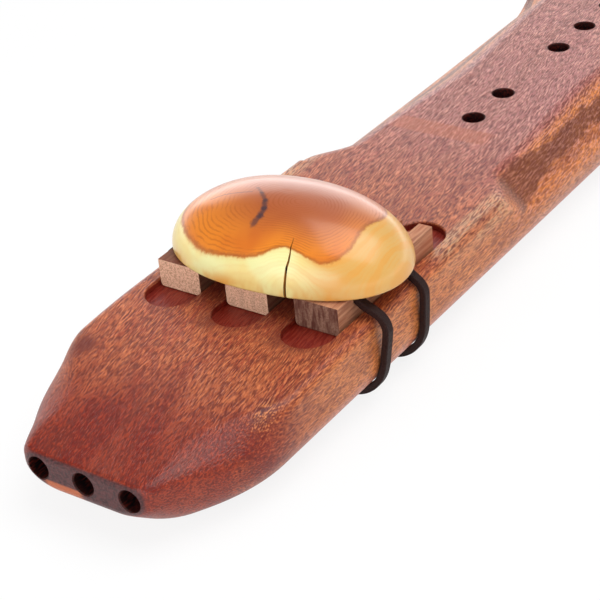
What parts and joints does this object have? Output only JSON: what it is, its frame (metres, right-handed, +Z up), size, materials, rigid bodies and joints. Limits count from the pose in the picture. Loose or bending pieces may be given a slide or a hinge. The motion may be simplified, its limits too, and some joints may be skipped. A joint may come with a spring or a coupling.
{
  "type": "triple flute",
  "caption": "Flat-bodied wooden flute with parallel pipes side by side, a breath hole for each, and sliding blocks under a domed wood slice, tied on with a leather lace.",
  "frame": {"origin": "on the floor under the middle of the flute's length and width", "axes": "+Y along the pipes from the mouth end to the foot, +Z up through the blocks and the cap, +X across to the side away from the knot"},
  "size_m": [0.1004, 0.408, 0.0646],
  "materials": {
    "mahogany": "satin oiled red-brown hardwood",
    "walnut": "dull oiled brown hardwood",
    "yew_slice": "glossy lacquered slice of branch, orange heart and pale sapwood",
    "leather": "dark brown square-cut lace, slightly shiny"
  },
  "bodies": {
    "body": {"body_top_board": "mahogany", "body_bottom_board": "mahogany"},
    "blocks": {"block_left": "walnut", "block_middle": "walnut", "block_right": "walnut", "slice_cap": "yew_slice", "lace": "leather", "lace_knot": "leather"}
  },
  "joints": [
    {"name": "block_slide", "type": "slide", "parent": "body", "child": "blocks", "axis": [0, 1, 0], "range_m": [-0.008, 0.008]}
  ]
}
